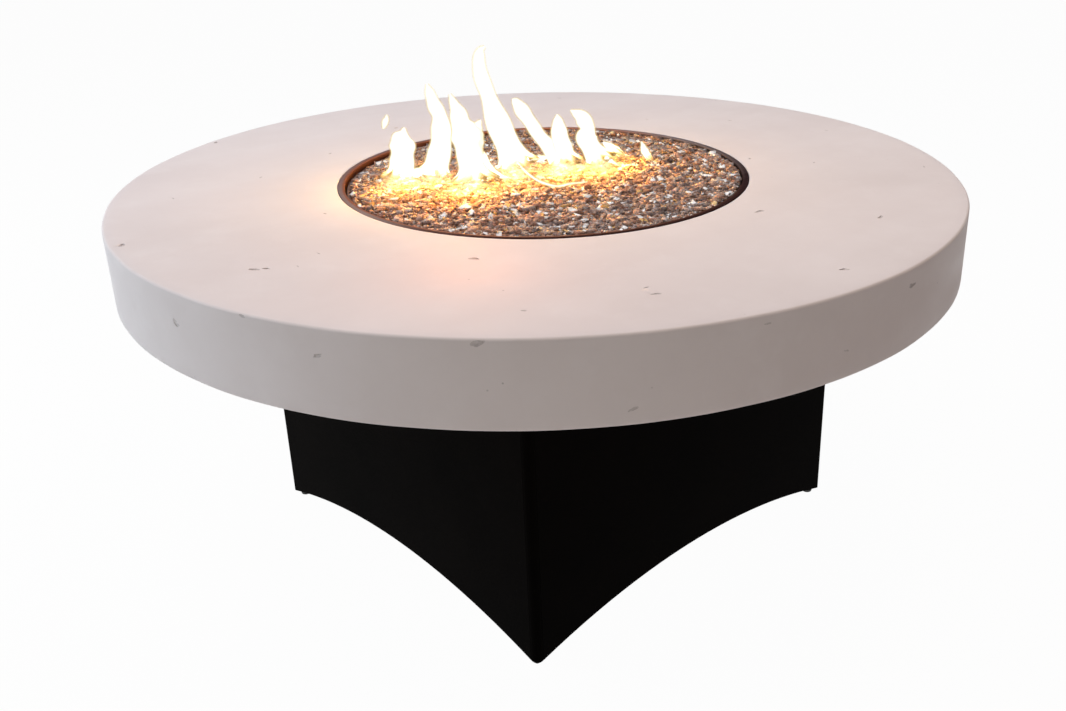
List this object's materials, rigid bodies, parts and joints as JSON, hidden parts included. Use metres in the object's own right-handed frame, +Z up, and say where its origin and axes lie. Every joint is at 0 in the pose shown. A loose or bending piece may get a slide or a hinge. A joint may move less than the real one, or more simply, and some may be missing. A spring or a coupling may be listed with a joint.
{
  "type": "gas fire pit table",
  "caption": "Round concrete fire pit table on a square black steel base with arched lower edges, a burner pan of fire glass, gas valve, igniter and access door.",
  "frame": {"origin": "on the floor under the centre of the round top, at the height of the feet's lower faces", "axes": "+Z up; the four base panels face +X, -X, +Y and -Y; the controls and the gas inlet are on the -X panel and the access door is in the +Y panel"},
  "size_m": [1.067, 1.067, 0.6399],
  "materials": {
    "concrete": "cast concrete, sealed matt, with small open pits",
    "black_powder_coat": "black powder coat, fine texture",
    "foot_plastic": "moulded black nylon",
    "zinc_steel": "zinc plated steel",
    "stainless": "brushed stainless steel",
    "pan_steel": "stainless steel, darkened by heat",
    "brass": "plain brass",
    "copper_pipe": "drawn copper tube",
    "rubber": "black rubber",
    "lead_jacket": "silicone jacket",
    "lava_rock": "loose porous lava rock",
    "fire_glass": "crushed tempered glass, bronze grey",
    "flame": "burning gas",
    "electrode_ceramic": "white ceramic insulator",
    "black_plastic": "black moulded plastic",
    "button_plastic": "red moulded plastic",
    "battery_wrap": "plain wrapped steel can"
  },
  "bodies": {
    "table": {"table_top": "concrete", "top_inserts": "brass", "top_pads": "rubber", "top_bolts": "zinc_steel", "corner_plate_front_right": "black_powder_coat", "corner_plate_rear_right": "black_powder_coat", "corner_plate_rear_left": "black_powder_coat", "corner_plate_front_left": "black_powder_coat", "corner_post_front_right": "black_powder_coat", "corner_post_rear_right": "black_powder_coat", "corner_post_rear_left": "black_powder_coat", "corner_post_front_left": "black_powder_coat", "foot_front_right": "foot_plastic", "foot_rear_right": "foot_plastic", "foot_rear_left": "foot_plastic", "foot_front_left": "foot_plastic", "front_panel": "black_powder_coat", "right_panel": "black_powder_coat", "rear_panel": "black_powder_coat", "left_panel": "black_powder_coat", "panel_studs": "zinc_steel", "panel_nuts": "zinc_steel", "plate_screws": "zinc_steel", "burner_pan": "pan_steel", "burner": "stainless", "burner_supports": "zinc_steel", "burner_washer": "zinc_steel", "burner_locknut": "brass", "air_mixer": "brass", "mixer_elbow": "brass", "lava_rock_bed": "lava_rock", "fire_glass": "fire_glass", "flames": "flame", "heat_shield": "stainless", "shield_nuts": "zinc_steel", "electrode_bracket": "zinc_steel", "spark_electrode": "electrode_ceramic", "lead_grommet": "rubber", "spark_lead": "lead_jacket", "control_plate": "stainless", "control_screws": "zinc_steel", "valve_body": "brass", "valve_panel_nut": "brass", "igniter_housing": "black_plastic", "igniter_nut": "zinc_steel", "igniter_spring": "zinc_steel", "igniter_battery": "battery_wrap", "gas_inlet": "brass", "inlet_locknut": "brass", "inlet_pipe": "copper_pipe", "burner_hose": "stainless", "hinge_frame_leaves": "black_powder_coat", "hinge_pins": "zinc_steel", "door_catch": "black_plastic"},
    "gas_knob": {"control_knob": "black_plastic", "valve_stem": "zinc_steel"},
    "igniter_button": {"igniter_button": "button_plastic"},
    "door": {"access_door": "black_powder_coat", "hinge_door_leaves": "black_powder_coat", "door_pull": "black_powder_coat"}
  },
  "joints": [
    {"name": "gas_knob_turn", "type": "hinge", "parent": "table", "child": "gas_knob", "pos_m": [-0.29, -0.045, 0.3066], "axis": [1, 0, 0], "range_deg": [0, 90], "deforming": ["flames"]},
    {"name": "igniter_press", "type": "slide", "parent": "table", "child": "igniter_button", "axis": [1, 0, 0], "range_m": [0, 0.004], "stiffness_N_per_m": 600, "springref_m": -0.002, "deforming": ["igniter_spring"]},
    {"name": "access_door_swing", "type": "hinge", "parent": "table", "child": "door", "pos_m": [0.129, 0.2799, 0.21], "axis": [0, 0, -1], "range_deg": [0, 110]}
  ]
}
